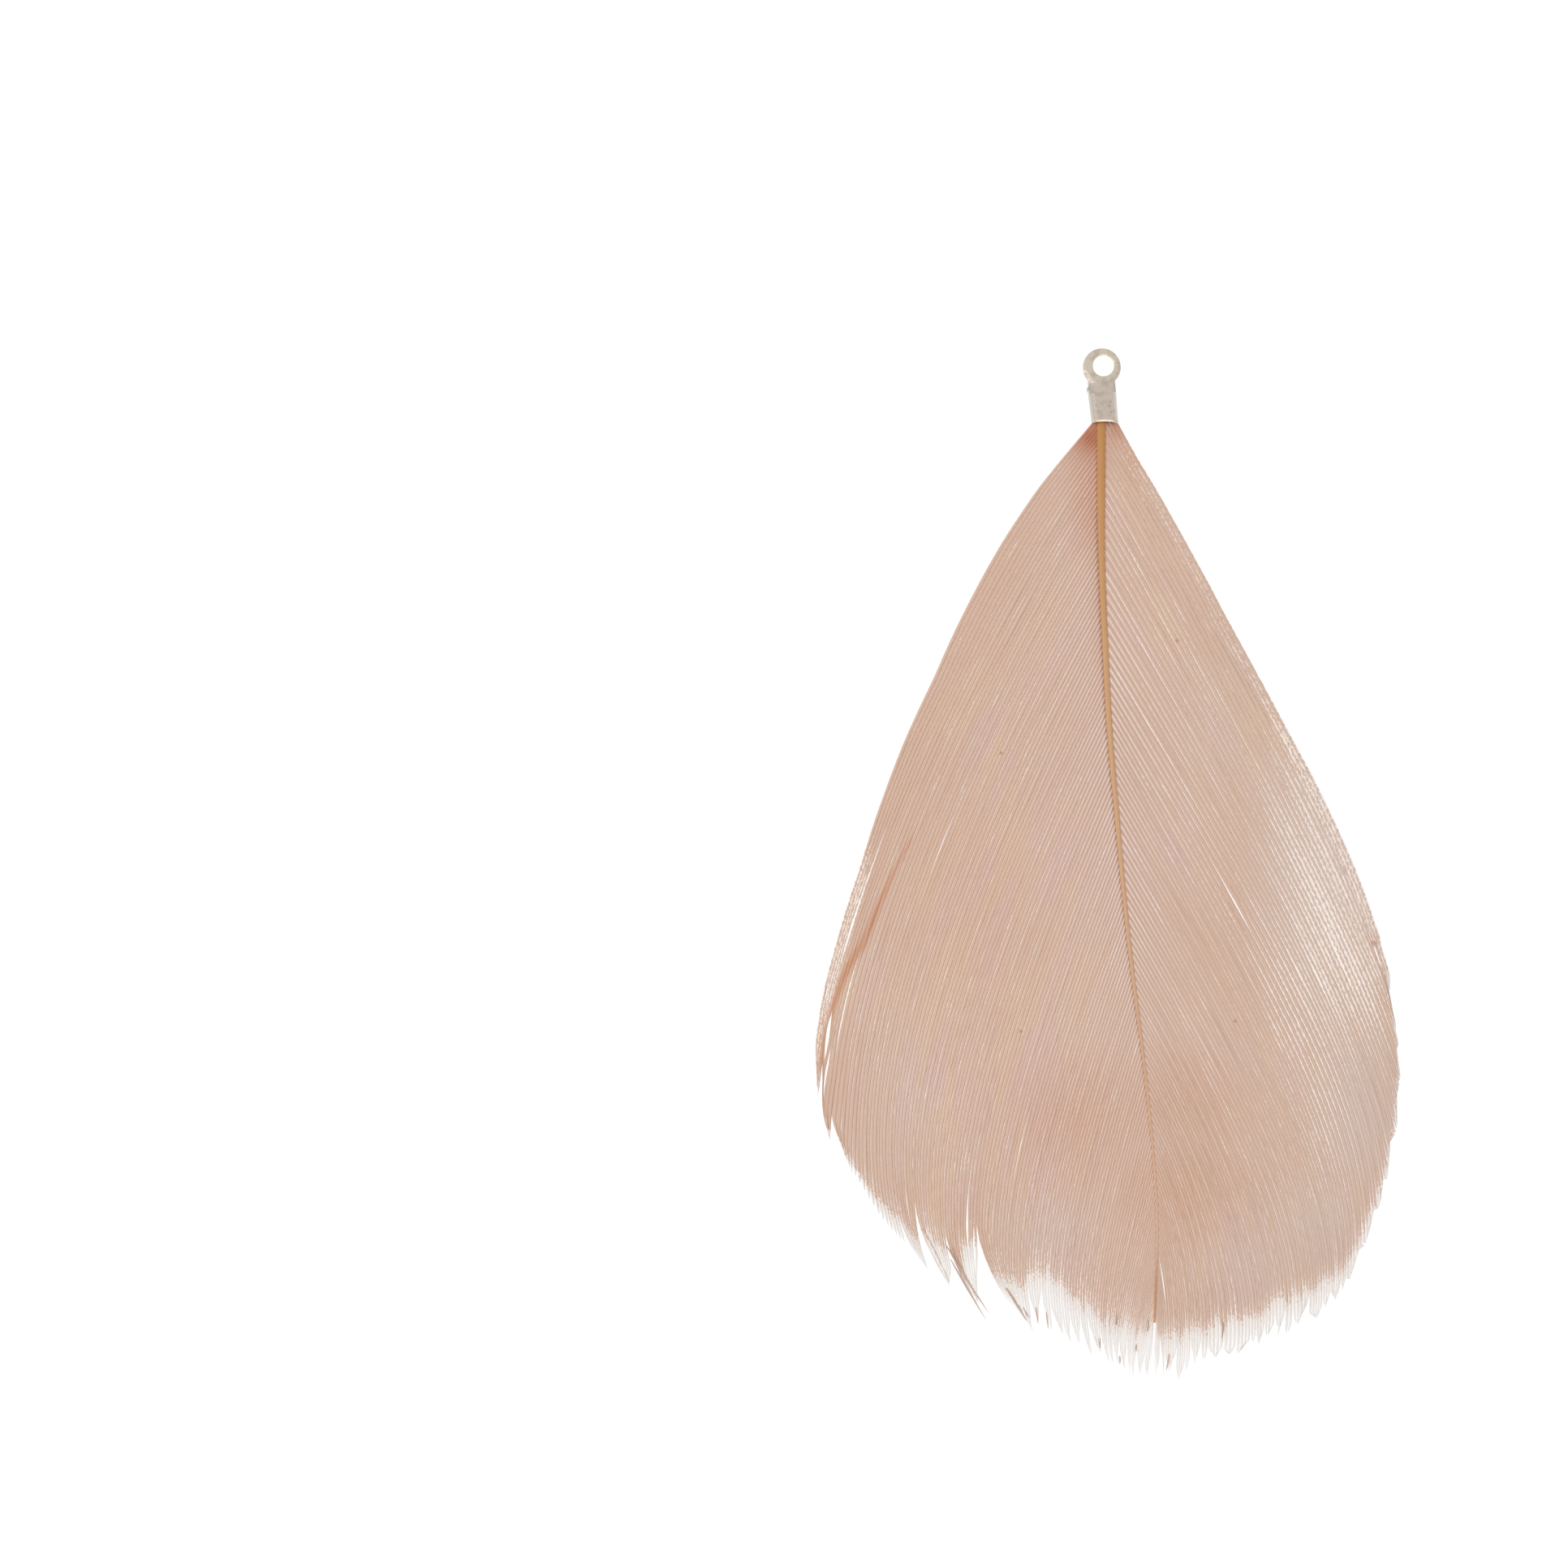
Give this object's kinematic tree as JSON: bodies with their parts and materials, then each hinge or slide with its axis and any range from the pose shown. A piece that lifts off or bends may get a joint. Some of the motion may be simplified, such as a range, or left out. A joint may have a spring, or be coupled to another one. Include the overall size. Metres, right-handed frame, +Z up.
{
  "type": "feather",
  "caption": "Dyed body feather, tip rounded, its quill held in a small folded metal crimp end with a flat ring for hanging.",
  "frame": {"origin": "on the surface the feather lies on, under the middle of the whole piece", "axes": "+Y from the feather's tip to the ring, +X across the vane to the right seen from above, +Z up from the surface, out of the feather's convex side"},
  "size_m": [0.0401, 0.0704, 0.0029],
  "materials": {
    "feather": "dyed peach-pink barbs with an amber shaft, silky",
    "crimp_metal": "satin silver-coloured plate, lightly scuffed"
  },
  "bodies": {
    "root": {"feather": "feather", "crimp_end": "crimp_metal"}
  },
  "joints": []
}
